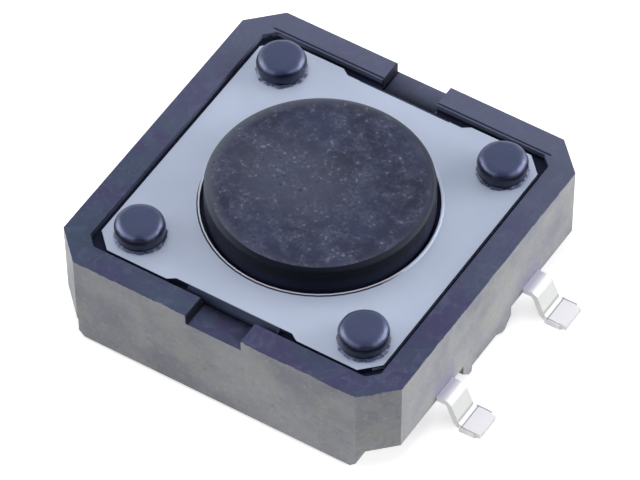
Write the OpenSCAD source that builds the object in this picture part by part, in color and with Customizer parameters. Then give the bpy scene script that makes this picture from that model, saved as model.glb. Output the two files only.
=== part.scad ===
// Surface-mount tactile push button, 12 mm square.
// Millimetres. The origin is the middle of the switch on the board: +Z is up, and the legs leave
// along +X and -X with their soles at z = 0.

/* [Housing] */
// Width of the square housing at its rim
body_w = 12; // [11.5:0.1:13]
// Corner cut of the housing, along each side
body_cut = 1; // [0.6:0.1:1.3]
// Height of the rim above the board
rim_z = 3.5; // [3.3:0.1:4.5]
// Gap between the housing's feet and the board
standoff = 0.1; // [0.05:0.05:0.2]
// How far each wall leans in from the rim to the feet
wall_draft = 0.06; // [0.02:0.02:0.16]
// Width of the rim round the cover
rim_w = 0.85; // [0.7:0.05:0.95]
// Corner cut of the recess that holds the cover
recess_cut = 0.35; // [0.2:0.05:0.5]
// Width of the notch in the middle of the two long rims
rim_notch_w = 1.9; // [1:0.1:3]
// Depth of that notch below the rim
rim_notch_d = 0.36; // [0.2:0.02:0.5]
// Thickness of the floor over the contact strips
floor_t = 0.12; // [0.1:0.02:0.2]

/* [Underside] */
// How far the underside is cut back below the legs
relief_d = 1.05; // [0.8:0.05:1.4]
// Width of the foot rails along the two legless sides
rail_w = 1.1; // [0.8:0.1:1.5]
// Corner cut at the ends of the foot rails
rail_cut = 0.2; // [0.1:0.05:0.3]
// Length of the middle foot between two legs, along the wall
mid_foot_l = 2.1; // [1.5:0.1:2.4]
// Slope cut at each end of the middle foot
mid_foot_cut = 0.35; // [0.1:0.05:0.5]
// Length of the shallow inset in the middle foot's face
mid_inset_l = 1.4; // [0.8:0.1:1.5]
// Depth of that inset
mid_inset_d = 0.1; // [0.05:0.05:0.2]
// Length of the slope at each end of that inset
mid_inset_cut = 0.2; // [0.05:0.05:0.3]
// Depth of the hollow field between the feet
field_d = 0.15; // [0.05:0.05:0.3]
// Radius of the holes left by the pins that hold the strips in the mould
pin_hole_r = 0.45; // [0.3:0.05:0.6]
// Distance of those holes from the end of the underside, along the strips
pin_hole_inset = 1.35; // [0.9:0.05:2]

/* [Cover] */
// Thickness of the stamped cover
cover_t = 0.2; // [0.15:0.05:0.3]
// How far the cover lies below the rim
cover_drop = 0.1; // [0.05:0.05:0.3]
// Gap between the cover and the recess wall
cover_gap = 0.15; // [0.05:0.05:0.2]
// Corner cut of the cover
cover_cut = 0.57; // [0.4:0.05:0.8]
// Width of the cover between the button's hole and the middle of a side
cover_band = 1.34; // [1.3:0.02:2]
// Width of each bent side tab
tab_w = 3.2; // [2:0.2:4]
// Length of the tab below the cover
tab_drop = 0.8; // [0.4:0.1:1.2]
// Inner radius of the tab's bend
tab_bend_r = 0.05; // [0.02:0.01:0.08]
// Width of the relief notch on each side of a tab
tab_relief_w = 0.7; // [0.3:0.1:0.8]
// Depth of the relief notch
tab_relief_d = 0.17; // [0.1:0.01:0.25]
// Length of the slope that ends the relief notch
tab_relief_cut = 0.25; // [0.05:0.05:0.3]
// Clearance between a tab and the outer wall of its slot in the housing
tab_side_gap = 0.05; // [0.03:0.01:0.1]
// Clearance between the relief notches and the ends of the slot in the housing
tab_slot_gap = 0.9; // [0.1:0.1:1]
// Width of the bead round the button hole
bead_w = 0.1; // [0.06:0.02:0.2]
// Height of that bead
bead_h = 0.03; // [0.02:0.01:0.08]

/* [Staked posts] */
// Distance from the cover's sides to the middle of a post
post_inset = 1; // [0.9:0.05:1.1]
// Radius of the post where it passes the cover
post_r = 0.5; // [0.4:0.05:0.6]
// Depth of the post's root below the cover
post_root = 0.1; // [0.05:0.05:0.3]
// Clearance between the post and its hole in the cover
post_gap = 0.05; // [0.02:0.01:0.08]
// Radius of the staked head
head_r = 0.8; // [0.7:0.01:0.9]
// Height of the staked head above the cover
head_h = 0.7; // [0.5:0.02:0.8]
// Radius of the head's rounded edge
head_round = 0.3; // [0.2:0.02:0.34]
// How far the head's foot is set in below its widest ring
head_foot_in = 0.03; // [0.01:0.01:0.1]
// Height of that widest ring above the cover
head_belly = 0.14; // [0.05:0.01:0.15]

/* [Button] */
// Height of the button's face above the board
button_z = 4.3; // [4.1:0.1:6]
// Radius of the rounded edge of the button's face
button_round = 0.15; // [0.1:0.05:0.4]
// Clearance between the button and the cover's hole
button_gap = 0.13; // [0.08:0.01:0.2]
// How far the flange reaches out under the cover
flange_lip = 0.6; // [0.4:0.05:0.7]
// Thickness of the flange
flange_t = 0.55; // [0.4:0.05:0.7]
// Gap between the flange and the cover above it
flange_gap = 0.05; // [0.02:0.01:0.08]
// Clearance between the flange and the housing
flange_side_gap = 0.2; // [0.1:0.05:0.25]
// Wall of the button round its hollow
button_wall = 0.8; // [0.6:0.1:1]
// Thickness of the button's face over its hollow
face_t = 0.7; // [0.6:0.05:0.8]
// Radius of the pusher under the button
pusher_r = 0.9; // [0.6:0.1:1.2]
// Thickness of the ribs that carry the pusher
rib_t = 0.5; // [0.3:0.1:0.7]

/* [Contacts] */
// Travel of the button
travel = 0.3; // [0.2:0.05:0.35]
// Thickness of the snap dome
dome_t = 0.07; // [0.05:0.01:0.1]
// Thickness of the film over the dome
film_t = 0.05; // [0.03:0.01:0.08]
// Clearance between the film and the housing round it
film_side_gap = 0.15; // [0.1:0.05:0.3]
// How far the film reaches past the dome
film_lip = 0.68; // [0.5:0.02:0.9]
// Clearance between the dome's edge and the pocket that holds it
dome_side_gap = 0.1; // [0.08:0.01:0.2]
// Clearance between dome, film and pusher
stack_gap = 0.01; // [0.01:0.005:0.02]
// How far the contact pads stand out of the floor
pad_proud = 0.02; // [0.01:0.005:0.03]
// Radius of the pads under the dome's edge
edge_pad_r = 0.28; // [0.2:0.02:0.28]
// Distance from the dome's edge in to the middle of those pads
edge_pad_in = 0.2; // [0.2:0.02:0.3]
// Distance between those pads and the side of their strip
edge_pad_land = 0.1; // [0.05:0.05:0.3]
// Radius of the centre contact
centre_pad_r = 0.6; // [0.4:0.05:0.8]
// Width of the tongue that carries the centre contact
tongue_w = 1.4; // [1:0.1:2]

/* [Legs] */
// Distance between the middles of the two strips
leg_pitch = 5; // [4.8:0.1:5.2]
// Thickness of the strip
strip_t = 0.2; // [0.15:0.05:0.25]
// Height of the strip's underside above the board
strip_z = 0.83; // [0.75:0.01:0.95]
// Width of the strip inside the housing
strip_w = 1.3; // [1.1:0.1:1.5]
// Length of the leg's neck inside the housing, before the strip widens
neck_l = 0.3; // [0.1:0.1:0.6]
// Length from the tip of one leg to the tip of the other
leg_span = 15; // [14.6:0.1:18]
// Width of the leg
leg_w = 0.9; // [0.7:0.05:1]
// Width of the solder foot
foot_w = 1.06; // [1:0.02:1.2]
// Length of the flat on top of the solder foot
foot_l = 0.64; // [0.5:0.02:0.8]
// Slope of the leg between its two bends, in degrees
leg_slope = 68; // [60:1:80]
// Inner radius of the upper bend
upper_bend_r = 0.1; // [0.05:0.01:0.15]
// Inner radius of the lower bend
lower_bend_r = 0.16; // [0.08:0.01:0.2]
// Corner cut of the foot's tip
tip_cut = 0.2; // [0.05:0.01:0.25]

/* [Hidden] */

// how far a cutting shape runs past the face that it opens
past = 1;
round_steps = 8;
dome_steps = 16;

// the cover in its recess
cover_top_z = rim_z - cover_drop;
ledge_z = cover_top_z - cover_t;
recess_w = body_w - 2 * rim_w;
cover_w = recess_w - 2 * cover_gap;
hole_r = cover_w / 2 - cover_band;
post_x = cover_w / 2 - post_inset;
tab_slot_w = tab_w + 2 * (tab_relief_w + tab_slot_gap);
tab_slot_in = cover_w / 2 - cover_t - cover_gap / 2;
tab_slot_out = cover_w / 2 + tab_side_gap;
rim_notch_z = rim_z - rim_notch_d;
tab_slot_z = ledge_z - tab_drop - cover_gap;

// the strips, their legs and the floor over them
strip_top_z = strip_z + strip_t;
floor_z = strip_top_z + floor_t;
pad_z = floor_z + pad_proud;
upper_outer_r = upper_bend_r + strip_t;
slope_drop = strip_z - (upper_outer_r + lower_bend_r) * (1 - cos(leg_slope));
slope_run = slope_drop / tan(leg_slope);
foot_flat_x = leg_span / 2 - foot_l;
bend_x = foot_flat_x - (upper_outer_r + lower_bend_r) * sin(leg_slope) - slope_run;
strip_end_x = body_w / 2 - relief_d - neck_l;

// the button in the cover's hole, and the dome and the film in the cavity under it
button_r = hole_r - button_gap;
hollow_r = button_r - button_wall;
flange_r = button_r + flange_lip;
flange_top_z = ledge_z - flange_gap;
cavity_r = flange_r + flange_side_gap;
film_r = cavity_r - film_side_gap;
dome_r = film_r - film_lip;
edge_pad_y = leg_pitch / 2 - strip_w / 2 + edge_pad_r + edge_pad_land;
edge_pad_x = sqrt(pow(dome_r - edge_pad_in, 2) - pow(edge_pad_y, 2));
crown_z = pad_z + travel;
film_seat_z = pad_z + dome_t + stack_gap;
film_z = crown_z + dome_t + stack_gap;
pusher_z = film_z + film_t + stack_gap;

// the underside
foot_z = standoff;
field_z = foot_z + field_d;
relief_x = body_w / 2 - relief_d;
pin_hole_x = relief_x - pin_hole_inset;

$fn = 96;

// a square with cut corners
module cut_square(w, cut) {
    polygon([for (a = [0:90:270], s = [-1, 1])
        let (u = w / 2, v = s * (w / 2 - cut))
        [u * cos(a) - v * sin(a), u * sin(a) + v * cos(a)]]);
}

// an upright slab whose two faces lean in towards the bottom
module leaning_slab(half, z0, z1, lean) {
    rotate([90, 0, 0])
        translate([0, 0, -body_w])
            linear_extrude(2 * body_w)
                polygon([[-half + lean, z0], [half - lean, z0], [half, z1], [-half, z1]]);
}

// the square block with cut corners and leaning walls that the housing is cut from
module drafted_block() {
    corner_half = (body_w - body_cut) / sqrt(2);
    intersection_for (a = [0:45:135])
        rotate(a)
            leaning_slab(a % 90 == 0 ? body_w / 2 : corner_half, foot_z, rim_z, wall_draft);
}

// everything below the strips and outside the relief line, apart from the middle feet
module underside_relief() {
    for (s = [-1, 1])
        difference() {
            translate([s > 0 ? relief_x : -relief_x - relief_d - past, -body_w, foot_z - past])
                cube([relief_d + past, 2 * body_w, strip_z - foot_z + past]);
            rotate([90, 0, 90])
                translate([0, 0, -body_w])
                    linear_extrude(2 * body_w)
                        mid_foot_outline();
        }
}

// the middle foot seen along X: flat below, with a slope at each end
module mid_foot_outline() {
    tip = mid_foot_l / 2;
    root = tip + mid_foot_cut;
    polygon([[-tip, foot_z - past], [tip, foot_z - past], [tip, foot_z],
             [root, foot_z + mid_foot_cut], [root, strip_z + past],
             [-root, strip_z + past], [-root, foot_z + mid_foot_cut], [-tip, foot_z]]);
}

// the small slope that ends each foot rail
module rail_end_cuts() {
    for (s = [-1, 1])
        translate([s * relief_x, 0, foot_z])
            rotate([0, 45, 0])
                cube([rail_cut * sqrt(2), 2 * body_w, rail_cut * sqrt(2)], center = true);
}

// the hollow field between the rails and the middle feet
module underside_field() {
    translate([0, 0, foot_z - past])
        linear_extrude(field_z - foot_z + past)
            square([2 * (relief_x - rail_cut), body_w - 2 * rail_w], center = true);
}

// the shallow inset in the face of each middle foot, with its two ends sloped
module mid_foot_insets() {
    bottom_x = body_w / 2 - wall_draft - mid_inset_d;
    open_x = bottom_x + past;
    spread = past * mid_inset_cut / mid_inset_d;
    for (a = [0, 180])
        rotate(a)
            translate([0, 0, foot_z - past])
                linear_extrude(past + strip_z - foot_z - strip_t / 2)
                    polygon([[bottom_x, -mid_inset_l / 2], [bottom_x, mid_inset_l / 2],
                             [open_x, mid_inset_l / 2 + spread], [open_x, -mid_inset_l / 2 - spread]]);
}

// the post that is melted over to hold the cover, from the ledge to the top of its head
module staked_post() {
    translate([0, 0, ledge_z - post_root])
        cylinder(r = post_r, h = post_root + cover_t + head_h / 2, $fn = 48);
    translate([0, 0, cover_top_z])
        rotate_extrude($fn = 64)
            polygon(concat([[0, 0], [head_r - head_foot_in, 0], [head_r, head_belly]],
                rounded_edge(head_r, head_h, head_round)));
}

// the points of a turned piece's rounded upper edge, and the middle of its top
function rounded_edge(r, h, edge) = concat(
    [for (i = [0:round_steps])
        let (a = 90 * i / round_steps)
        [r - edge + edge * cos(a), h - edge + edge * sin(a)]],
    [[0, h]]);

module at_posts() {
    for (x = [-1, 1], y = [-1, 1])
        translate([x * post_x, y * post_x, 0])
            children();
}

// the plan of a strip inside the housing
module strip_plan() {
    square([2 * strip_end_x, strip_w], center = true);
    square([body_w, leg_w], center = true);
}

module edge_pads() {
    for (x = [-1, 1])
        translate([x * edge_pad_x, -edge_pad_y, strip_top_z])
            cylinder(r = edge_pad_r, h = pad_z - strip_top_z, $fn = 48);
}

// the way that the moulded-in strips take through the housing
module strip_room() {
    for (y = [-1, 1])
        translate([0, y * leg_pitch / 2, strip_z])
            linear_extrude(strip_t)
                strip_plan();
    centre_tongue();
    edge_pads();
    centre_pad();
    for (x = [-1, 1], y = [-1, 1])
        translate([x * pin_hole_x, y * leg_pitch / 2, foot_z])
            cylinder(r = pin_hole_r, h = strip_z - foot_z, $fn = 48);
}

module centre_tongue() {
    tongue_l = leg_pitch / 2 - strip_w / 2;
    translate([-tongue_w / 2, 0, strip_z])
        cube([tongue_w, tongue_l, strip_t]);
    translate([0, 0, strip_z])
        cylinder(r = tongue_w / 2, h = strip_t, $fn = 64);
}

module centre_pad() {
    translate([0, 0, strip_top_z])
        cylinder(r = centre_pad_r, h = pad_z - strip_top_z, $fn = 64);
}

// the slots that take the cover's bent tabs
module tab_slots() {
    for (s = [-1, 1])
        translate([-tab_slot_w / 2, s > 0 ? tab_slot_in : -tab_slot_out, tab_slot_z])
            cube([tab_slot_w, tab_slot_out - tab_slot_in, rim_z - tab_slot_z]);
}

// the notches in the two long rims, each running in to its tab's slot
module rim_notches() {
    for (s = [-1, 1])
        translate([-rim_notch_w / 2, s > 0 ? tab_slot_in : -tab_slot_in - body_w, rim_notch_z])
            cube([rim_notch_w, body_w, rim_notch_d + past]);
}

module housing() {
    color("#43465a") {
        difference() {
            drafted_block();
            translate([0, 0, ledge_z])
                linear_extrude(rim_z - ledge_z + past)
                    cut_square(recess_w, recess_cut);
            rim_notches();
            translate([0, 0, film_seat_z])
                cylinder(r = cavity_r, h = rim_z - film_seat_z);
            // the dome's own pocket, with the film's seat round it
            translate([0, 0, floor_z])
                cylinder(r = dome_r + dome_side_gap, h = rim_z - floor_z);
            tab_slots();
            underside_relief();
            underside_field();
            rail_end_cuts();
            mid_foot_insets();
            strip_room();
        }
        at_posts()
            staked_post();
        // two lands hold the dome level on the side that has no edge pads
        for (x = [-1, 1])
            translate([x * edge_pad_x, edge_pad_y, floor_z])
                cylinder(r = edge_pad_r, h = pad_proud, $fn = 48);
    }
}

// the cover's bent tab seen along X, with the bend's outer face at y = 0
module tab_outline() {
    outer_r = tab_bend_r + cover_t;
    polygon(concat(
        [for (i = [0:round_steps])
            let (a = 90 * i / round_steps)
            [-outer_r + outer_r * sin(a), -outer_r + outer_r * cos(a)]],
        [[0, -cover_t - tab_drop], [-cover_t, -cover_t - tab_drop]],
        [for (i = [round_steps:-1:0])
            let (a = 90 * i / round_steps)
            [-outer_r + tab_bend_r * sin(a), -outer_r + tab_bend_r * cos(a)]]));
}

// the notch that frees one side of a tab, with a sloped outer end; side is 1 or -1
module relief_notch(side) {
    slope_x = tab_relief_w - tab_relief_cut;
    polygon([for (p = [[0, 0], [slope_x, 0], [tab_relief_w, tab_relief_d],
                       [tab_relief_w, 2 * tab_relief_d], [0, 2 * tab_relief_d]])
        [side * (tab_w / 2 + p.x), cover_w / 2 - tab_relief_d + p.y]]);
}

module cover_plate() {
    bend = tab_bend_r + cover_t;
    color("#b4bcd0") {
        difference() {
            translate([0, 0, ledge_z])
                linear_extrude(cover_t)
                    cut_square(cover_w, cover_cut);
            translate([0, 0, ledge_z - past])
                cylinder(r = hole_r, h = cover_t + 2 * past);
            at_posts()
                translate([0, 0, ledge_z - past])
                    cylinder(r = post_r + post_gap, h = cover_t + 2 * past, $fn = 48);
            for (a = [0, 180])
                rotate(a)
                    translate([0, 0, ledge_z - past])
                        linear_extrude(cover_t + 2 * past) {
                            translate([-tab_w / 2, cover_w / 2 - bend])
                                square([tab_w, 2 * bend]);
                            relief_notch(1);
                            relief_notch(-1);
                        }
        }
        for (a = [0, 180])
            rotate(a)
                translate([0, cover_w / 2, cover_top_z])
                    rotate([90, 0, 90])
                        translate([0, 0, -tab_w / 2])
                            linear_extrude(tab_w)
                                tab_outline();
        // the bead that the punch leaves round the hole
        rotate_extrude()
            polygon([[hole_r, cover_top_z - cover_t / 2], [hole_r, cover_top_z + bead_h],
                     [hole_r + bead_w / 2, cover_top_z + bead_h],
                     [hole_r + bead_w, cover_top_z], [hole_r + bead_w, cover_top_z - cover_t / 2]]);
    }
}

module button() {
    hollow_top = button_z - face_t;
    flange_z = flange_top_z - flange_t;
    color("#40435a") {
        difference() {
            union() {
                translate([0, 0, flange_z])
                    cylinder(r = flange_r, h = flange_t);
                translate([0, 0, flange_z])
                    rotate_extrude()
                        polygon(concat([[0, 0], [button_r, 0]],
                            rounded_edge(button_r, button_z - flange_z, button_round)));
            }
            translate([0, 0, flange_z - past])
                cylinder(r = hollow_r, h = hollow_top - flange_z + past);
        }
        translate([0, 0, pusher_z])
            cylinder(r = pusher_r, h = hollow_top - pusher_z, $fn = 64);
        for (a = [0, 90])
            rotate(a)
                translate([-hollow_r, -rib_t / 2, flange_z])
                    cube([2 * hollow_r, rib_t, hollow_top - flange_z]);
    }
}

// height of the dome's underside above the pads, at a distance r from the middle
function dome_rise(r) = travel * (1 + cos(180 * r / dome_r)) / 2;

module contact_dome() {
    color("#c8ccd2")
        translate([0, 0, pad_z])
            rotate_extrude()
                polygon(concat(
                    [for (i = [0:dome_steps]) let (r = dome_r * i / dome_steps) [r, dome_rise(r)]],
                    [for (i = [dome_steps:-1:0])
                        let (r = dome_r * i / dome_steps) [r, dome_rise(r) + dome_t]]));
}

module dome_film() {
    color("#b98a3c")
        translate([0, 0, film_seat_z])
            rotate_extrude()
                polygon(concat(
                    [for (i = [0:dome_steps]) let (r = dome_r * i / dome_steps) [r, dome_rise(r)]],
                    [[film_r, 0], [film_r, film_t]],
                    [for (i = [dome_steps:-1:0])
                        let (r = dome_r * i / dome_steps) [r, dome_rise(r) + film_t]]));
}

// one leg seen along Y: flat, down the slope and out along the board
module leg_outline() {
    root_x = strip_end_x - strip_t;
    top_c = [bend_x, strip_top_z - upper_outer_r];
    low_c = [foot_flat_x, strip_t + lower_bend_r];
    polygon(concat(
        [[root_x, strip_top_z]],
        [for (i = [0:round_steps])
            let (a = leg_slope * i / round_steps) top_c + upper_outer_r * [sin(a), cos(a)]],
        [for (i = [round_steps:-1:0])
            let (a = leg_slope * i / round_steps) low_c - lower_bend_r * [sin(a), cos(a)]],
        [[leg_span / 2, strip_t], [leg_span / 2, 0]],
        [for (i = [0:round_steps])
            let (a = leg_slope * i / round_steps)
            low_c - (lower_bend_r + strip_t) * [sin(a), cos(a)]],
        [for (i = [round_steps:-1:0])
            let (a = leg_slope * i / round_steps) top_c + upper_bend_r * [sin(a), cos(a)]],
        [[root_x, strip_z]]));
}

module leg_slice(w) {
    rotate([90, 0, 0])
        translate([0, 0, -w / 2])
            linear_extrude(w)
                leg_outline();
}

// a leg with its wider solder foot and cut tip
module leg() {
    foot_start = foot_flat_x - lower_bend_r * sin(leg_slope) / 2;
    leg_slice(leg_w);
    difference() {
        intersection() {
            leg_slice(foot_w);
            translate([foot_start, -foot_w, -past])
                cube([leg_span, 2 * foot_w, strip_z + past]);
        }
        for (s = [-1, 1])
            translate([leg_span / 2, s * foot_w / 2, 0])
                rotate(45)
                    cube([tip_cut * sqrt(2), tip_cut * sqrt(2), 2 * past], center = true);
    }
}

// a strip with a leg at each end
module strip() {
    translate([0, 0, strip_z])
        linear_extrude(strip_t)
            square([2 * strip_end_x, strip_w], center = true);
    for (a = [0, 180])
        rotate(a)
            leg();
}

module outer_contact_strip() {
    color("#dfe0e4") {
        translate([0, -leg_pitch / 2, 0])
            strip();
        edge_pads();
    }
}

module centre_contact_strip() {
    color("#dfe0e4") {
        translate([0, leg_pitch / 2, 0])
            strip();
        centre_tongue();
        centre_pad();
    }
}

housing();
cover_plate();
button();
dome_film();
contact_dome();
outer_contact_strip();
centre_contact_strip();
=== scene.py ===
"""Looks of a 12 mm tactile push button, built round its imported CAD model.

The frame is in metres with +Z up out of the board. Shapes are worked in millimetres, where small
bevels stay exact, and each finished mesh is scaled to metres once.
"""

import math

import bmesh
import bpy
from mathutils import Matrix, Vector


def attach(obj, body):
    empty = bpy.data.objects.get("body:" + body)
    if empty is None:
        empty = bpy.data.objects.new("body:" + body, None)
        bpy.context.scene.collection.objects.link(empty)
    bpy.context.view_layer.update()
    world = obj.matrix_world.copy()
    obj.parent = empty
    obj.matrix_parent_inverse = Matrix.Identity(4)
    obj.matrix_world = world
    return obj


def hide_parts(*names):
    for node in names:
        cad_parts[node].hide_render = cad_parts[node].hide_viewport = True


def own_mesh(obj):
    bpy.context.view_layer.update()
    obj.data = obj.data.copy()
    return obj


MM = 0.001

# Sizes of the switch in millimetres, as the CAD model has them.
BODY_HALF = 6.0
CORNER_CUT = 1.0
RIM_Z = 3.5
COVER_TOP_Z = 3.4
LEDGE_Z = 3.2
RECESS_HALF = 5.15
RECESS_CUT = 0.35
SLOT_Y = 5.05
NOTCH_HALF = 0.95
NOTCH_Z = 3.14
SLOT_BOTTOM_Z = 2.25
POST_X = 4.0
POST_R = 0.5
HEAD_R = 0.79
HEAD_H = 0.73
HEAD_ROUND = 0.34
HEAD_FOOT_R = 0.77
FLASH_R = 0.82
FLASH_H = 0.07
BUTTON_Z = 4.3
BUTTON_R = 3.53
BUTTON_ROUND = 0.15
FLANGE_R = 4.13
FLANGE_TOP_Z = 3.15
FLANGE_Z = 2.6
HOLLOW_R = 2.73
HOLLOW_TOP_Z = 3.6
PUSHER_R = 0.9
PUSHER_Z = 1.61
RIB_T = 0.5
PAD_Z = 1.17
FILM_SEAT_Z = 1.25
TRAVEL = 0.3
DOME_R = 3.5
DOME_T = 0.07
FILM_R = 4.18
FILM_T = 0.05
LEG_Y = 2.5
FOOT_HALF = 0.53
SLOPE_END_X = 6.71
FOOT_X = 6.86
RELIEF_X = 4.95

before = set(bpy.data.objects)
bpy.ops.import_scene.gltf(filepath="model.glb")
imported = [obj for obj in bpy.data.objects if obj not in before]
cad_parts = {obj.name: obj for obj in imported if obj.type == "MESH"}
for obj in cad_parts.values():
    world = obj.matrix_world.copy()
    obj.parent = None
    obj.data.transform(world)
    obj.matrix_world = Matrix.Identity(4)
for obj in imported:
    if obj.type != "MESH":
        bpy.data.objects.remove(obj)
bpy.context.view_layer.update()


def aim_camera():
    """The photograph's long lens, placed by the corners of the rim and the soles of the legs."""
    azimuth, elevation, roll = (math.radians(a) for a in (32.68, 49.186, -0.605))
    # from the middle of the rim, in millimetres
    distance, aside, lower = 197.13, 0.011, 1.206
    back = Vector((math.sin(azimuth) * math.cos(elevation),
                   -math.cos(azimuth) * math.cos(elevation), math.sin(elevation)))
    level = Vector((0, 0, 1)).cross(back).normalized()
    rise = back.cross(level)
    right = level * math.cos(roll) + rise * math.sin(roll)
    up = rise * math.cos(roll) - level * math.sin(roll)
    place = Vector((0, 0, RIM_Z)) + back * distance - right * aside - up * lower
    data = bpy.data.cameras.new("photo_camera")
    data.lens, data.sensor_width = 366.9, 36.0
    data.clip_start, data.clip_end = 0.01, 10.0
    camera = bpy.data.objects.new("photo_camera", data)
    axes = Matrix((right, up, back)).transposed().to_4x4()
    camera.matrix_world = Matrix.Translation(place * MM) @ axes
    bpy.context.scene.collection.objects.link(camera)
    bpy.context.scene.camera = camera


def linear(hex_colour):
    """An sRGB hex colour as the linear RGBA that a shader takes."""
    parts = [int(hex_colour[i:i + 2], 16) / 255 for i in (1, 3, 5)]
    return [p / 12.92 if p <= 0.04045 else ((p + 0.055) / 1.055) ** 2.4 for p in parts] + [1.0]


def add(tree, kind, inputs=None, **settings):
    """Adds a node with its settings. An input takes a value, a socket or a node's first output."""
    node = tree.nodes.new(kind)
    for name, value in settings.items():
        setattr(node, name, value)
    for name, value in (inputs or {}).items():
        if isinstance(value, bpy.types.Node):
            value = value.outputs[0]
        if isinstance(value, bpy.types.NodeSocket):
            tree.links.new(value, node.inputs[name])
        else:
            node.inputs[name].default_value = value
    return node


def new_material(name):
    """An empty material, its tree, its Object coordinates in millimetres and its local normal."""
    material = bpy.data.materials.new(name)
    material.use_nodes = True
    tree = material.node_tree
    tree.nodes.clear()
    where = add(tree, "ShaderNodeTexCoord")
    mm = add(tree, "ShaderNodeVectorMath", {0: where.outputs["Object"], "Scale": 1 / MM},
             operation="SCALE")
    return material, tree, mm, where.outputs["Normal"]


def surfaced(material, colour, layers, surface):
    """Paints a material in layers over its base colour, from the lowest up, each a share and a
    tone, and gives it its surface."""
    tree = material.node_tree
    for share, tone in layers:
        colour = add(tree, "ShaderNodeMix", {0: share, 6: colour, 7: tone},
                     data_type="RGBA").outputs[2]
    shader = add(tree, "ShaderNodeBsdfPrincipled", {"Base Color": colour, **surface})
    add(tree, "ShaderNodeOutputMaterial", {0: shader})
    return material


def painted_wall_glare_and_scuffs(t, mm, at, ax, ay, scuff):
    """The walls' pale grey, a painted reflection of the bright white table: 3 mm blotches, a
    yellowish bloom, a painted bluish reflection of each leg on the end walls, and dark and pale
    scuffs."""
    blotch = add(t, "ShaderNodeTexNoise", {"Vector": mm, "Scale": 0.42, "Detail": 3.0})
    bloom = add(t, "ShaderNodeTexNoise", {"Vector": mm, "Scale": 0.75, "Detail": 4.0,
                                          "Distortion": 0.6})
    blotch = add(t, "ShaderNodeMapRange", {0: blotch, 1: 0.35, 2: 0.65})
    bloom = add(t, "ShaderNodeMapRange", {0: bloom, 1: 0.48, 2: 0.66, 3: 0.0, 4: 0.6})
    # painted reflection: a bluish tint on the end walls over each leg stands for the leg mirrored
    # in the wall
    from_leg = add(t, "ShaderNodeMath", {0: ay, 1: LEG_Y}, operation="SUBTRACT")
    from_leg = add(t, "ShaderNodeMath", {0: from_leg}, operation="ABSOLUTE")
    over_leg = add(t, "ShaderNodeMapRange", {0: from_leg, 1: 0.75, 2: 0.4},
                   interpolation_type="SMOOTHSTEP")
    near_leg = add(t, "ShaderNodeMapRange", {0: at.outputs[2], 1: 2.1, 2: 1.1, 3: 0.0, 4: 0.85},
                   interpolation_type="SMOOTHSTEP")
    cast = add(t, "ShaderNodeMath", {0: over_leg, 1: near_leg}, operation="MULTIPLY")
    end_wall = add(t, "ShaderNodeMath", {0: ax, 1: BODY_HALF - 0.2}, operation="GREATER_THAN")
    cast = add(t, "ShaderNodeMath", {0: cast, 1: end_wall}, operation="MULTIPLY")
    rubbed = add(t, "ShaderNodeMapRange", {0: scuff, 1: 0.44, 2: 0.3, 3: 0.0, 4: 0.5})
    scratched = add(t, "ShaderNodeMapRange", {0: scuff, 1: 0.55, 2: 0.75, 3: 0.0, 4: 0.45})
    grey = linear("#75767e")
    for share, tone in ((blotch, "#929396"), (bloom, "#8f9089"), (cast, "#797a8f"),
                        (rubbed, "#5d5e65"), (scratched, "#b3b4b0")):
        grey = add(t, "ShaderNodeMix", {0: share, 6: grey, 7: linear(tone)},
                   data_type="RGBA").outputs[2]
    return grey


def mould_skin(t, mm, at, scuff):
    """The dark skin of the top: two casts, streaks along the flow, pale flecks, and a painted
    light that makes it paler towards +Y."""
    cast = add(t, "ShaderNodeTexNoise", {"Vector": mm, "Scale": 0.8, "Detail": 5.0,
                                         "Roughness": 0.6, "Distortion": 0.8})
    cast = add(t, "ShaderNodeMapRange", {0: cast, 1: 0.38, 2: 0.62})
    streak = add(t, "ShaderNodeTexNoise", {"Vector": mm, "Scale": 2.2, "Detail": 6.0,
                                           "Roughness": 0.65, "Distortion": 1.2})
    streak = add(t, "ShaderNodeMapRange", {0: streak, 1: 0.5, 2: 0.72, 3: 0.0, 4: 0.55})
    fleck = add(t, "ShaderNodeMapRange", {0: scuff, 1: 0.62, 2: 0.76, 3: 0.0, 4: 0.5})
    # painted light: the top is painted paler towards +Y
    painted_back_light = add(t, "ShaderNodeMapRange", {0: at.outputs[1], 1: -2.0, 2: 6.0, 3: 0.0, 4: 0.58})
    dark = linear("#413f5e")
    for share, tone in ((cast, "#414c60"), (streak, "#5e627c"), (fleck, "#7c8097"),
                        (painted_back_light, "#666a80")):
        dark = add(t, "ShaderNodeMix", {0: share, 6: dark, 7: linear(tone)},
                   data_type="RGBA").outputs[2]
    return dark


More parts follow.
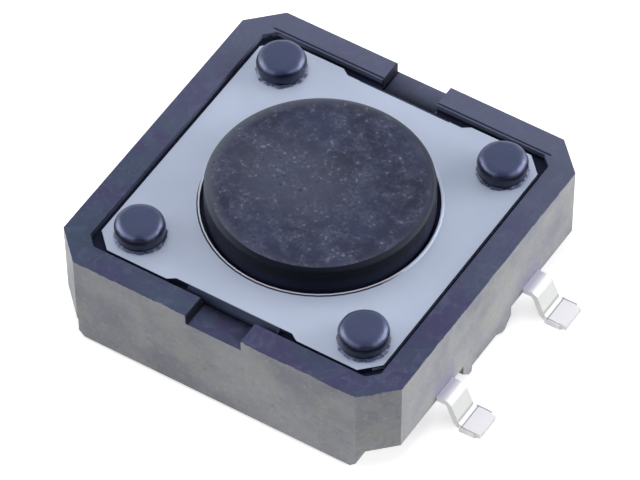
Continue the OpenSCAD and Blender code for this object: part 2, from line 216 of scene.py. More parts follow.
def gap_shade_share(t, at, ax, ay, well, notch):
    """The share of painted shade: one in the gap round the cover, up to a little below the rim,
    and in a fine painted dark line that runs along its +Y side on the rim's top. The floors of the
    notches are left out. well says how far out a point lies on the recess's square."""
    # painted shade fills the gap round the cover
    inside = add(t, "ShaderNodeMapRange", {0: well, 1: RECESS_HALF + 0.03, 2: RECESS_HALF + 0.02})
    by_plus_y = add(t, "ShaderNodeMath", {0: at.outputs[1], 1: RECESS_HALF - 0.12},
                    operation="GREATER_THAN")
    by_minus_x = add(t, "ShaderNodeMath", {0: at.outputs[0], 1: 0.12 - RECESS_HALF},
                     operation="LESS_THAN")
    start = add(t, "ShaderNodeMath", {0: by_minus_x, 1: 0.05, 2: 0.1}, operation="MULTIPLY_ADD")
    start = add(t, "ShaderNodeMath", {0: by_plus_y, 1: 0.07, 2: start}, operation="MULTIPLY_ADD")
    depth = add(t, "ShaderNodeMath", {0: RIM_Z, 1: at.outputs[2]}, operation="SUBTRACT")
    sunk = add(t, "ShaderNodeMath", {0: depth, 1: start}, operation="GREATER_THAN")
    above_slots = add(t, "ShaderNodeMapRange", {0: at.outputs[2], 1: SLOT_BOTTOM_Z - 0.1,
                                                2: SLOT_BOTTOM_Z - 0.05})
    inside = add(t, "ShaderNodeMath", {0: inside, 1: above_slots}, operation="MULTIPLY")
    inside = add(t, "ShaderNodeMath", {0: inside, 1: sunk}, operation="MULTIPLY")
    notch_floor = add(t, "ShaderNodeMapRange", {0: ay, 1: SLOT_Y - 0.02, 2: SLOT_Y - 0.01})
    notch_floor = add(t, "ShaderNodeMath", {0: notch_floor, 1: notch}, operation="MULTIPLY")
    inside = add(t, "ShaderNodeMath", {0: inside, 1: notch_floor}, operation="SUBTRACT",
                 use_clamp=True)
    # painted shadow: a fine dark line on the rim's top along the recess's +Y edge
    painted_lip_shadow = add(t, "ShaderNodeMath", {0: at.outputs[1], 1: RECESS_HALF + 0.08, 2: 0.035},
                 operation="COMPARE")
    along = add(t, "ShaderNodeMapRange", {0: ax, 1: RECESS_HALF - 0.1, 2: RECESS_HALF - 0.2})
    on_top = add(t, "ShaderNodeMapRange", {0: at.outputs[2], 1: RIM_Z - 0.06, 2: RIM_Z - 0.04})
    painted_lip_shadow = add(t, "ShaderNodeMath", {0: painted_lip_shadow, 1: along}, operation="MULTIPLY")
    painted_lip_shadow = add(t, "ShaderNodeMath", {0: painted_lip_shadow, 1: on_top}, operation="MULTIPLY")
    return add(t, "ShaderNodeMath", {0: inside, 1: painted_lip_shadow}, operation="MAXIMUM")


def moulded_nylon():
    """Black glass-filled nylon. The top keeps the mould's blue-black matt skin, mottled between a
    purple and a slaty cast, with faint flow streaks. The outer walls carry a painted reflection of
    the bright white table: they read as a pale, blotchy grey, up to a slightly ragged line at the
    rim's edge. The gap round the cover, a fine line along the recess's +Y edge and the -X ends of
    the notches are painted nearly black as shade."""
    material, t, mm, _ = new_material("moulded_glass_filled_nylon")
    at = add(t, "ShaderNodeSeparateXYZ", {0: mm})
    ax = add(t, "ShaderNodeMath", {0: at.outputs[0]}, operation="ABSOLUTE")
    ay = add(t, "ShaderNodeMath", {0: at.outputs[1]}, operation="ABSOLUTE")
    both = add(t, "ShaderNodeMath", {0: ax, 1: ay}, operation="ADD")
    side = add(t, "ShaderNodeMath", {0: ax, 1: ay}, operation="MAXIMUM")
    # how far out a point lies on the outer square and on the recess's, each with its corners cut
    reaches = []
    for half, cut in ((BODY_HALF, CORNER_CUT), (RECESS_HALF, RECESS_CUT)):
        corner = add(t, "ShaderNodeMath", {0: both, 1: math.sqrt(0.5),
                                           2: half - (2 * half - cut) * math.sqrt(0.5)},
                     operation="MULTIPLY_ADD")
        reaches.append(add(t, "ShaderNodeMath", {0: side, 1: corner}, operation="MAXIMUM"))
    out, well = reaches

    # a point on a wall lies further out for its height than one on the top, with a ragged line
    # between them; the underside counts as wall
    rag = 0.3
    scuff = add(t, "ShaderNodeTexNoise", {"Vector": mm, "Scale": 5.5, "Detail": 5.0,
                                          "Roughness": 0.7})
    ragged = add(t, "ShaderNodeTexNoise", {"Vector": mm, "Scale": 2.2, "Detail": 8.0,
                                           "Roughness": 0.8})
    slant = add(t, "ShaderNodeMath", {0: out, 1: at.outputs[2]}, operation="SUBTRACT")
    slant = add(t, "ShaderNodeMath", {0: ragged, 1: rag, 2: slant}, operation="MULTIPLY_ADD")
    line = BODY_HALF - RIM_Z + rag / 2
    wall = add(t, "ShaderNodeMapRange", {0: slant, 1: line, 2: line + 0.01},
               interpolation_type="SMOOTHSTEP")
    under = add(t, "ShaderNodeMapRange", {0: at.outputs[2], 1: 1.3, 2: 1.2})
    wall = add(t, "ShaderNodeMath", {0: wall, 1: under}, operation="MAXIMUM")
    # the notches in the rim keep the dark skin
    across = add(t, "ShaderNodeMapRange", {0: ax, 1: NOTCH_HALF + 0.04, 2: NOTCH_HALF + 0.03})
    above = add(t, "ShaderNodeMapRange", {0: at.outputs[2], 1: NOTCH_Z - 0.03,
                                          2: NOTCH_Z - 0.01})
    notch = add(t, "ShaderNodeMath", {0: across, 1: above}, operation="MULTIPLY")
    wall = add(t, "ShaderNodeMath", {0: wall, 1: notch}, operation="SUBTRACT", use_clamp=True)
    # painted shade: the -X end of each notch is painted as good as black
    painted_notch_end_shade = add(t, "ShaderNodeMapRange", {0: at.outputs[0], 1: -NOTCH_HALF + 0.08,
                                              2: -NOTCH_HALF + 0.02},
                    interpolation_type="SMOOTHSTEP")
    painted_notch_end_shade = add(t, "ShaderNodeMath", {0: painted_notch_end_shade, 1: notch}, operation="MULTIPLY")

    # the gap's painted shade is near-black, and paler on the walls of the tabs' slots, a painted
    # light so that they show in its depth
    slots = add(t, "ShaderNodeMapRange", {0: at.outputs[2], 1: LEDGE_Z - 0.04, 2: LEDGE_Z - 0.08})
    gap_shade_tone = add(t, "ShaderNodeMix", {0: slots, 6: linear("#181c2e"), 7: linear("#6b7896")},
                   data_type="RGBA").outputs[2]
    # over the top's skin: the walls' painted reflection, the gap's painted shade and the notch
    # ends' painted shade
    layers = ((wall, painted_wall_glare_and_scuffs(t, mm, at, ax, ay, scuff)),
              (gap_shade_share(t, at, ax, ay, well, notch), gap_shade_tone),
              (painted_notch_end_shade, linear("#070812")))

    grain = add(t, "ShaderNodeTexNoise", {"Vector": mm, "Scale": 12.0, "Detail": 4.0})
    height = add(t, "ShaderNodeMath", {0: scuff, 1: grain}, operation="ADD")
    bump = add(t, "ShaderNodeBump", {"Height": height, "Strength": 0.35, "Distance": 0.00001})
    gloss = add(t, "ShaderNodeMapRange", {0: scuff, 1: 0.3, 2: 0.7, 3: 0.5, 4: 0.66})
    return surfaced(material, mould_skin(t, mm, at, scuff), layers,
                    {"Roughness": gloss, "Normal": bump, "Specular IOR Level": 0.25,
                     "Specular Tint": linear("#c4cbf0"), "IOR": 1.5})


def staked_nylon():
    """The same nylon where the hot punch melted it: smoother than the moulded skin, so that each
    head carries two broad soft highlights on its rounded edge. Its side is painted nearly black as
    shade, down to the torn flash at its foot, which has painted glints here and there."""
    material, t, mm, normal = new_material("hot_staked_nylon")
    at = add(t, "ShaderNodeSeparateXYZ", {0: mm})
    facing = add(t, "ShaderNodeSeparateXYZ", {0: normal})
    mottle = add(t, "ShaderNodeTexNoise", {"Vector": mm, "Scale": 2.4, "Detail": 4.0})
    mottle = add(t, "ShaderNodeMapRange", {0: mottle, 1: 0.35, 2: 0.65})
    # painted shade: the steep side is painted nearly black
    painted_side_shade = add(t, "ShaderNodeMapRange", {0: facing.outputs[2], 1: 0.65, 2: 0.4},
                interpolation_type="SMOOTHSTEP")
    foot = add(t, "ShaderNodeMapRange", {0: at.outputs[2], 1: COVER_TOP_Z + 0.1,
                                         2: COVER_TOP_Z + 0.05})
    # painted highlight: glints painted on the flash at the foot
    teeth = add(t, "ShaderNodeTexNoise", {"Vector": mm, "Scale": 6.0, "Detail": 2.0})
    painted_glint = add(t, "ShaderNodeMapRange", {0: teeth, 1: 0.54, 2: 0.64})
    painted_glint = add(t, "ShaderNodeMath", {0: painted_glint, 1: foot}, operation="MULTIPLY")
    layers = ((mottle, linear("#3d4260")), (painted_side_shade, linear("#0f1222")),
              (painted_glint, linear("#656c84")))
    grain = add(t, "ShaderNodeTexNoise", {"Vector": mm, "Scale": 5.0, "Detail": 3.0})
    bump = add(t, "ShaderNodeBump", {"Height": grain, "Strength": 0.3, "Distance": 0.00002})
    return surfaced(material, linear("#38425a"), layers,
                    {"Roughness": 0.3, "Normal": bump, "Specular IOR Level": 0.5,
                     "Specular Tint": linear("#c4cbf5"), "IOR": 1.5})


def spark_textured_acetal():
    """Black acetal from a spark-eroded mould: a fine matt grain on the face, with pale specks and
    smears gathered into clouds. A patch off its middle is painted paler as painted light, and a
    band along the edge is worn paler and carries a painted highlight, most of all towards -X."""
    material, t, mm, _ = new_material("spark_textured_acetal")
    at = add(t, "ShaderNodeSeparateXYZ", {0: mm})
    flat = add(t, "ShaderNodeVectorMath", {0: mm, 1: (1.0, 1.0, 0.0)}, operation="MULTIPLY")
    radius = add(t, "ShaderNodeVectorMath", {0: flat}, operation="LENGTH").outputs["Value"]
    cloud = add(t, "ShaderNodeTexNoise", {"Vector": mm, "Scale": 0.5, "Detail": 4.0,
                                          "Roughness": 0.6})
    cloud = add(t, "ShaderNodeMapRange", {0: cloud, 1: 0.4, 2: 0.6})
    # painted light: a paler patch off the middle of the face
    off_middle = add(t, "ShaderNodeVectorMath", {0: flat, 1: (0.9, 0.3, 0.0)}, operation="ADD")
    off_middle = add(t, "ShaderNodeVectorMath", {0: off_middle, 1: (0.7, 1.0, 0.0)},
                     operation="MULTIPLY")
    off_middle = add(t, "ShaderNodeVectorMath", {0: off_middle},
                     operation="LENGTH").outputs["Value"]
    painted_light_patch = add(t, "ShaderNodeMapRange", {0: off_middle, 1: 2.3, 2: 0.5, 3: 0.0, 4: 0.5},
                interpolation_type="SMOOTHSTEP")
    band_wear_and_highlight = add(t, "ShaderNodeMapRange", {0: radius, 1: BUTTON_R - 0.5, 2: BUTTON_R - 0.1,
                                         3: 0.0, 4: 0.35}, interpolation_type="SMOOTHSTEP")
    # painted highlight: the worn band is painted paler towards -X
    painted_highlight_minus_x = add(t, "ShaderNodeMapRange", {0: at.outputs[0], 1: 1.0, 2: -3.0, 3: 0.5, 4: 2.2})
    band_wear_and_highlight = add(t, "ShaderNodeMath", {0: band_wear_and_highlight, 1: painted_highlight_minus_x}, operation="MULTIPLY")
    # smears of 0.3 to 1 mm, and specks and pits of 0.06 to 0.15 mm gathered in them, a little
    # coarser than the real ones so that they show
    smear = add(t, "ShaderNodeTexNoise", {"Vector": mm, "Scale": 1.6, "Detail": 8.0,
                                          "Roughness": 0.75, "Distortion": 0.15})
    smeared = add(t, "ShaderNodeMapRange", {0: smear, 1: 0.45, 2: 0.66, 3: 0.0, 4: 0.8})
    gather = add(t, "ShaderNodeMapRange", {0: smear, 1: 0.46, 2: 0.6, 3: 0.06, 4: 1.0})
    grain = add(t, "ShaderNodeTexNoise", {"Vector": mm, "Scale": 7.5, "Detail": 3.0,
                                          "Roughness": 0.6, "Distortion": 0.15})
    speck = add(t, "ShaderNodeMapRange", {0: grain, 1: 0.57, 2: 0.7, 3: 0.0, 4: 0.75})
    speck = add(t, "ShaderNodeMath", {0: gather, 1: speck}, operation="MULTIPLY")
    pit = add(t, "ShaderNodeMapRange", {0: grain, 1: 0.43, 2: 0.34, 3: 0.0, 4: 0.9})
    pit = add(t, "ShaderNodeMath", {0: gather, 1: pit}, operation="MULTIPLY")
    layers = ((cloud, linear("#2c314a")), (painted_light_patch, linear("#4c5061")), (band_wear_and_highlight, linear("#565b69")),
              (smeared, linear("#4a4e62")), (speck, linear("#85889a")), (pit, linear("#141624")))
    bump = add(t, "ShaderNodeBump", {"Height": grain, "Strength": 0.5, "Distance": 0.000008})
    return surfaced(material, linear("#1e2134"), layers,
                    {"Roughness": 0.55, "Normal": bump, "Specular IOR Level": 0.25, "IOR": 1.48})


def polished_acetal():
    """The same acetal from the mould's polished bore: the side wall reads as plain blue-black,
    painted paler low down as painted light where the gap shades it. The rounded edge is an olive
    grey, partly fingertip wear and partly painted highlight, most at -X, and painted shade makes
    it darkest towards -Y."""
    material, t, mm, _ = new_material("polished_acetal_wall")
    at = add(t, "ShaderNodeSeparateXYZ", {0: mm})
    level = add(t, "ShaderNodeVectorMath", {0: mm, 1: (1.0, 1.0, 0.0)}, operation="MULTIPLY")
    level = add(t, "ShaderNodeVectorMath", {0: level}, operation="NORMALIZE")
    # painted shade: the edge is left near-black where it faces -Y
    painted_shade_facing = add(t, "ShaderNodeVectorMath", {0: level, 1: (0.3, -0.95, 0.0)},
                 operation="DOT_PRODUCT").outputs["Value"]
    edge_wear_and_highlight = add(t, "ShaderNodeMapRange", {0: painted_shade_facing, 1: 0.97, 2: 0.3})
    plus_x = add(t, "ShaderNodeSeparateXYZ", {0: level}).outputs[0]
    plus_x = add(t, "ShaderNodeMapRange", {0: plus_x, 1: -0.2, 2: 0.5, 3: 1.0, 4: 0.4})
    edge_wear_and_highlight = add(t, "ShaderNodeMath", {0: edge_wear_and_highlight, 1: plus_x}, operation="MULTIPLY")
    turn = add(t, "ShaderNodeMapRange", {0: at.outputs[2], 1: BUTTON_Z - 0.14,
                                         2: BUTTON_Z - 0.04}, interpolation_type="SMOOTHSTEP")
    # painted light: the lower wall is painted paler where the gap shades it
    low = add(t, "ShaderNodeMapRange", {0: at.outputs[2], 1: COVER_TOP_Z + 0.5, 2: COVER_TOP_Z})
    edge = add(t, "ShaderNodeMix", {0: edge_wear_and_highlight, 6: linear("#14161f"), 7: linear("#555a64")},
               data_type="RGBA").outputs[2]
    wave = add(t, "ShaderNodeTexNoise", {"Vector": mm, "Scale": 3.0, "Detail": 3.0})
    gloss = add(t, "ShaderNodeMapRange", {0: wave, 1: 0.3, 2: 0.7, 3: 0.42, 4: 0.54})
    return surfaced(material, linear("#101219"), ((low, linear("#24273a")), (turn, edge)),
                    {"Roughness": gloss, "Specular IOR Level": 0.06,
                     "Specular Tint": linear("#c4cbf5"), "IOR": 1.48})


def satin_stainless():
    """Stamped stainless sheet, rolled satin: an even blue-grey sheen that still mirrors the post
    heads softly, with hair-fine rolling lines. Sheared edges and bends carry painted shade in dark
    slate, and are rougher. The bead round the hole carries a painted highlight on its crest and
    painted shade along its outer foot, both towards -Y. The middle of the sheared edge along +X
    carries a painted highlight."""
    material, t, mm, normal = new_material("rolled_satin_stainless")
    at = add(t, "ShaderNodeSeparateXYZ", {0: mm})
    facing = add(t, "ShaderNodeSeparateXYZ", {0: normal})
    rolled = add(t, "ShaderNodeMapping", {"Vector": mm, "Scale": (0.4, 22.0, 1.0)})
    lines = add(t, "ShaderNodeTexNoise", {"Vector": rolled, "Scale": 1.0, "Detail": 3.0})
    cloud = add(t, "ShaderNodeTexNoise", {"Vector": mm, "Scale": 0.5, "Detail": 3.0})
    cloud = add(t, "ShaderNodeMapRange", {0: cloud, 1: 0.35, 2: 0.65})
    minus_y = add(t, "ShaderNodeMapRange", {0: at.outputs[1], 1: -0.6, 2: -1.8, 3: 0.0, 4: 1.0})
    # painted highlight on the bead's crest, towards -Y
    painted_crest_highlight = add(t, "ShaderNodeMapRange", {0: at.outputs[2], 1: COVER_TOP_Z + 0.01,
                                          2: COVER_TOP_Z + 0.02, 3: 0.0, 4: 0.85})
    painted_crest_highlight = add(t, "ShaderNodeMath", {0: painted_crest_highlight, 1: minus_y}, operation="MULTIPLY")
    flat = add(t, "ShaderNodeVectorMath", {0: mm, 1: (1.0, 1.0, 0.0)}, operation="MULTIPLY")
    radius = add(t, "ShaderNodeVectorMath", {0: flat}, operation="LENGTH").outputs["Value"]
    outside = add(t, "ShaderNodeMath", {0: radius, 1: BUTTON_R + 0.5}, operation="GREATER_THAN")
    outside = add(t, "ShaderNodeMath", {0: outside, 1: minus_y}, operation="MAXIMUM")
    # painted shade in dark slate on sheared edges, bends and the bead's outer foot, which are also
    # rougher
    painted_edge_shade = add(t, "ShaderNodeMapRange", {0: facing.outputs[2], 1: 0.985, 2: 0.94},
               interpolation_type="SMOOTHSTEP")
    painted_edge_shade = add(t, "ShaderNodeMath", {0: painted_edge_shade, 1: outside}, operation="MULTIPLY")
    # painted highlight: the middle of the sheared edge along +X is painted bright
    painted_cut_edge_highlight = add(t, "ShaderNodeMath", {0: at.outputs[2], 1: COVER_TOP_Z - 0.11, 2: 0.05},
                    operation="COMPARE")
    plus_x = add(t, "ShaderNodeMath", {0: facing.outputs[0], 1: 0.8}, operation="GREATER_THAN")
    painted_cut_edge_highlight = add(t, "ShaderNodeMath", {0: painted_cut_edge_highlight, 1: plus_x}, operation="MULTIPLY")
    layers = ((cloud, linear("#b8c2d8")), (painted_crest_highlight, linear("#d8d8e4")), (painted_edge_shade, linear("#1f2436")),
              (painted_cut_edge_highlight, linear("#a4aecb")))
    gloss = add(t, "ShaderNodeMapRange", {0: lines, 1: 0.3, 2: 0.7, 3: 0.4, 4: 0.47})
    gloss = add(t, "ShaderNodeMath", {0: painted_edge_shade, 1: 0.25, 2: gloss}, operation="MULTIPLY_ADD")
    bump = add(t, "ShaderNodeBump", {"Height": lines, "Strength": 0.06, "Distance": 0.000005})
    return surfaced(material, linear("#b2bdd3"), layers,
                    {"Metallic": 0.2, "Roughness": gloss, "Normal": bump,
                     "Specular Tint": linear("#bcc6e2")})


def silver_plating():
    """Copper alloy strip with dull silver-white plating: nearly white on the feet and the upper
    flats, painted greyer on the slopes and darker where a leg leaves the housing, both as painted
    shade. The forming die left a fine crease at each end of the lower bend, drawn as a line of
    painted shade, and faint drawing marks. A painted shadow line runs along the edges of the foot,
    and the sheared sides are painted whitest, as painted light."""
    material, t, mm, normal = new_material("dull_silver_plating")
    at = add(t, "ShaderNodeSeparateXYZ", {0: mm})
    facing = add(t, "ShaderNodeSeparateXYZ", {0: normal})
    ax = add(t, "ShaderNodeMath", {0: at.outputs[0]}, operation="ABSOLUTE")
    ay = add(t, "ShaderNodeMath", {0: at.outputs[1]}, operation="ABSOLUTE")
    drawn = add(t, "ShaderNodeMapping", {"Vector": mm, "Scale": (1.2, 5.0, 3.0)})
    marks = add(t, "ShaderNodeTexNoise", {"Vector": drawn, "Scale": 1.0, "Detail": 4.0})
    # painted shade: the slopes are painted greyer and each leg's root darker
    painted_slope_shade = add(t, "ShaderNodeMath", {0: facing.outputs[0]}, operation="ABSOLUTE")
    painted_slope_shade = add(t, "ShaderNodeMapRange", {0: painted_slope_shade, 1: 0.3, 2: 0.85},
                interpolation_type="SMOOTHSTEP")
    painted_root_shade = add(t, "ShaderNodeMapRange", {0: ax, 1: BODY_HALF + 0.3, 2: BODY_HALF + 0.04,
                                         3: 0.0, 4: 0.6}, interpolation_type="SMOOTHSTEP")
    upper = add(t, "ShaderNodeMath", {0: facing.outputs[2], 1: 0.3}, operation="GREATER_THAN")
    # a painted shadow line lies 0.05 mm inside the foot's edges and wanders with the marks
    from_leg = add(t, "ShaderNodeMath", {0: ay, 1: LEG_Y}, operation="SUBTRACT")
    from_leg = add(t, "ShaderNodeMath", {0: from_leg}, operation="ABSOLUTE")
    wander = add(t, "ShaderNodeMath", {0: marks, 1: 0.16, 2: from_leg}, operation="MULTIPLY_ADD")
    # painted shade: dark lines at the ends of the lower bend stand for the shade in its creases
    lines = []
    for value, place, half_width, strength in ((ax, SLOPE_END_X, 0.022, 0.8),
                                               (ax, FOOT_X, 0.022, 0.8),
                                               (wander, FOOT_HALF + 0.03, 0.025, 0.75)):
        line = add(t, "ShaderNodeMath", {0: value, 1: place, 2: half_width}, operation="COMPARE")
        line = add(t, "ShaderNodeMath", {0: line, 1: upper}, operation="MULTIPLY")
        lines.append(add(t, "ShaderNodeMath", {0: line, 1: strength}, operation="MULTIPLY"))
    slope_crease_shade, foot_crease_shade, painted_edge_shadow = lines
    marked = add(t, "ShaderNodeMapRange", {0: marks, 1: 0.5, 2: 0.75, 3: 0.0, 4: 0.15})
    # painted light: the sheared sides are painted whitest
    painted_side_light = add(t, "ShaderNodeMath", {0: facing.outputs[1]}, operation="ABSOLUTE")
    painted_side_light = add(t, "ShaderNodeMapRange", {0: painted_side_light, 1: 0.6, 2: 0.9})
    layers = ((painted_slope_shade, linear("#b8bab8")), (painted_root_shade, linear("#b0adc6")),
              (slope_crease_shade, linear("#8d908f")), (foot_crease_shade, linear("#8d908f")),
              (painted_edge_shadow, linear("#8f8f98")), (marked, linear("#cfd1d6")),
              (painted_side_light, linear("#fbfbfa")))
    gloss = add(t, "ShaderNodeMapRange", {0: marks, 1: 0.3, 2: 0.7, 3: 0.5, 4: 0.6})
    bump = add(t, "ShaderNodeBump", {"Height": marks, "Strength": 0.15, "Distance": 0.000008})
    return surfaced(material, linear("#f4f3f9"), layers,
                    {"Metallic": 0.15, "Roughness": gloss, "Normal": bump})


def spring_steel():
    """Rolled stainless spring strip: bright, with a fine satin grain."""
    material, t, mm, _ = new_material("spring_steel_strip")
    grain = add(t, "ShaderNodeTexNoise", {"Vector": mm, "Scale": 8.0, "Detail": 3.0})
    gloss = add(t, "ShaderNodeMapRange", {0: grain, 1: 0.3, 2: 0.7, 3: 0.16, 4: 0.24})
    return surfaced(material, linear("#c9cbd0"), (), {"Metallic": 1.0, "Roughness": gloss})


def polyimide_film():
    """Clear amber polyimide tape: glossy, honey-coloured, with the dome showing through it."""
    material, t, mm, _ = new_material("polyimide_film")
    wave = add(t, "ShaderNodeTexNoise", {"Vector": mm, "Scale": 1.5, "Detail": 2.0})
    gloss = add(t, "ShaderNodeMapRange", {0: wave, 1: 0.3, 2: 0.7, 3: 0.1, 4: 0.2})
    return surfaced(material, linear("#d79a3a"), (),
                    {"Roughness": gloss, "Transmission Weight": 0.6, "IOR": 1.7})


def solid_of(node):
    """A CAD node's shape in millimetres, with its loose triangles merged into whole faces."""
    bm = bmesh.new()
    bm.from_mesh(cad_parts[node].data)
    bmesh.ops.scale(bm, vec=(1 / MM,) * 3, verts=bm.verts)
    bmesh.ops.remove_doubles(bm, verts=bm.verts, dist=0.001)
    merge_flats(bm)
    return bm


def merge_flats(bm):
    bmesh.ops.dissolve_limit(bm, angle_limit=math.radians(0.5), verts=bm.verts[:],
                             edges=bm.edges[:])


def ease_edges(bm, width, segments, where):
    """Rounds the sharp edges whose middle passes the test."""
    sharp = [e for e in bm.edges if e.is_manifold and e.calc_face_angle(0) > math.radians(30)
             and where((e.verts[0].co + e.verts[1].co) / 2)]
    bmesh.ops.bevel(bm, geom=sharp, offset=width, offset_type="OFFSET", segments=segments,
                    profile=0.5, affect="EDGES", clamp_overlap=True)


def turned(profile, steps):
    """A closed solid of revolution from its (radius, height) outline, which starts and ends on
    the axis."""
    bm = bmesh.new()
    line = [bm.verts.new((r, 0, z)) for r, z in profile]
    edges = [bm.edges.new(pair) for pair in zip(line, line[1:])]
    bmesh.ops.spin(bm, geom=line + edges, cent=(0, 0, 0), axis=(0, 0, 1), dvec=(0, 0, 0),
                   angle=math.tau, steps=steps, use_merge=True)
    bmesh.ops.remove_doubles(bm, verts=bm.verts, dist=0.0005)
    bmesh.ops.recalc_face_normals(bm, faces=bm.faces)
    return bm


def corner_arc(centre_r, centre_z, radius, start, stop, steps):
    """Points round a corner of a turned outline, from one angle to another in degrees."""
    return [(centre_r + radius * math.cos(math.radians(start + (stop - start) * i / steps)),
             centre_z + radius * math.sin(math.radians(start + (stop - start) * i / steps)))
            for i in range(steps + 1)]


def mesh_of(bm, name):
    mesh = bpy.data.meshes.new(name)
    bm.to_mesh(mesh)
    bm.free()
    return mesh


def evaluated(mesh, make_modifier):
    """The mesh after one modifier, which is applied and removed."""
    holder = bpy.data.objects.new("holder", mesh)
    bpy.context.scene.collection.objects.link(holder)
    modifier = make_modifier(holder)
    graph = bpy.context.evaluated_depsgraph_get()
    result = bpy.data.meshes.new_from_object(holder.evaluated_get(graph), depsgraph=graph)
    holder.modifiers.remove(modifier)
    bpy.data.objects.remove(holder)
    return result


def flat_face_normals(holder):
    """Keeps broad faces flat-shaded while the small rounds between them stay smooth."""
    modifier = holder.modifiers.new("normals", "WEIGHTED_NORMAL")
    modifier.weight = 100
    modifier.keep_sharp = True
    return modifier


def shown(name, mesh, materials, body, slot, *nodes):
    """Shades a mesh made in millimetres, scales it to metres and hangs it on its body."""
    for face in mesh.polygons:
        face.use_smooth = True
    mesh.set_sharp_from_angle(angle=math.radians(52))
    mesh = evaluated(mesh, flat_face_normals)
    mesh.transform(Matrix.Scale(MM, 4))
    faces = [face.material_index for face in mesh.polygons]
    mesh.materials.clear()
    for material in materials:
        mesh.materials.append(material)
    for face, index in zip(mesh.polygons, faces):
        face.material_index = index
    mesh.name = name
    piece = bpy.data.objects.new(name, mesh)
    bpy.context.scene.collection.objects.link(piece)
    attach(piece, body)
    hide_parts(*nodes)
    return piece


def tree_with(name, sizes):
    """A geometry tree with one named input for each size."""
    tree = bpy.data.node_groups.new(name, "GeometryNodeTree")
    tree.interface.new_socket("Geometry", in_out="INPUT", socket_type="NodeSocketGeometry")
    for size, kind in sizes.items():
        tree.interface.new_socket(size, in_out="INPUT", socket_type=kind)
    tree.interface.new_socket("Geometry", in_out="OUTPUT", socket_type="NodeSocketGeometry")
    return tree, add(tree, "NodeGroupInput").outputs


def grown(tree, sizes, mesh=None):
    """The mesh that a geometry tree makes at the given sizes."""
    def modifier_for(holder):
        modifier = holder.modifiers.new("shape", "NODES")
        modifier.node_group = tree
        for item in tree.interface.items_tree:
            if item.in_out == "INPUT" and item.name in sizes:
                modifier[item.identifier] = sizes[item.name]
        return modifier
    return evaluated(mesh or bpy.data.meshes.new("empty"), modifier_for)


